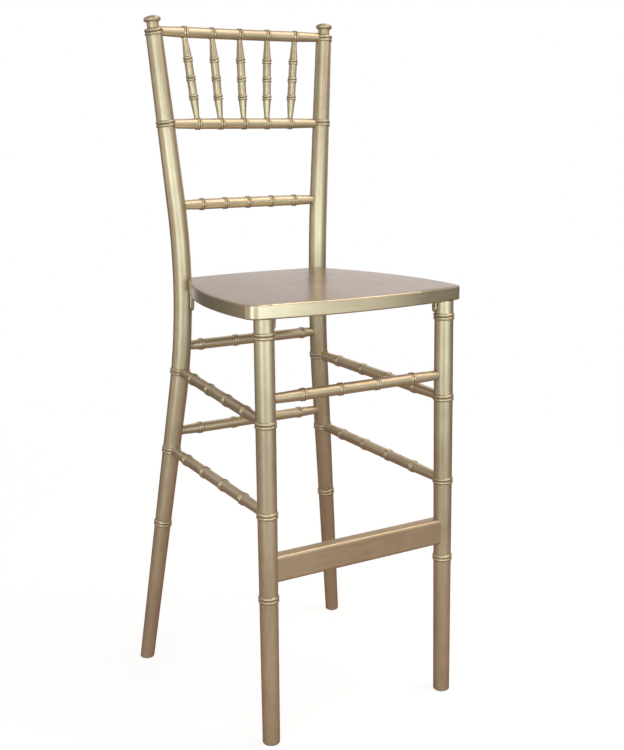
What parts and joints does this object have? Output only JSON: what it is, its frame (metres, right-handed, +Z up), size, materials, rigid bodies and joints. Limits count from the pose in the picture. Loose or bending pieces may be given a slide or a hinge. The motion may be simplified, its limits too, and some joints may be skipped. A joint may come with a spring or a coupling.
{
  "type": "bar stool",
  "caption": "Chiavari bar stool of turned wood with bent back posts, a fanned spindle back, a flat seat panel, round stretchers and a footrest board, painted satin gold.",
  "frame": {"origin": "on the floor, at the middle of the stool's outline", "axes": "+Z up, the sitter faces -Y, +X to the right of a viewer who looks along +Y"},
  "size_m": [0.4452, 0.434, 1.1681],
  "materials": {
    "upright_wood": "satin metallic gold paint on wood",
    "cross_wood": "satin metallic gold paint on wood",
    "side_wood": "satin metallic gold paint on wood",
    "seat_wood": "satin metallic gold paint on wood",
    "footrest_wood": "satin metallic gold paint on wood",
    "bracket_metal": "steel strip under the same satin gold paint",
    "screw_metal": "satin, lightly gilded by overspray"
  },
  "bodies": {
    "root": {"left_back_post": "upright_wood", "right_back_post": "upright_wood", "left_front_leg": "upright_wood", "right_front_leg": "upright_wood", "spindle_1": "upright_wood", "spindle_2": "upright_wood", "spindle_3": "upright_wood", "spindle_4": "upright_wood", "spindle_5": "upright_wood", "crest_rail": "cross_wood", "lower_back_rail": "cross_wood", "mid_back_rail": "cross_wood", "front_stretcher": "cross_wood", "upper_rear_stretcher": "cross_wood", "lower_rear_stretcher": "cross_wood", "left_upper_side_stretcher": "side_wood", "left_lower_side_stretcher": "side_wood", "right_upper_side_stretcher": "side_wood", "right_lower_side_stretcher": "side_wood", "seat_panel": "seat_wood", "footrest_board": "footrest_wood", "left_front_bracket": "bracket_metal", "left_rear_bracket": "bracket_metal", "right_front_bracket": "bracket_metal", "right_rear_bracket": "bracket_metal", "bracket_screws": "screw_metal"}
  },
  "joints": []
}
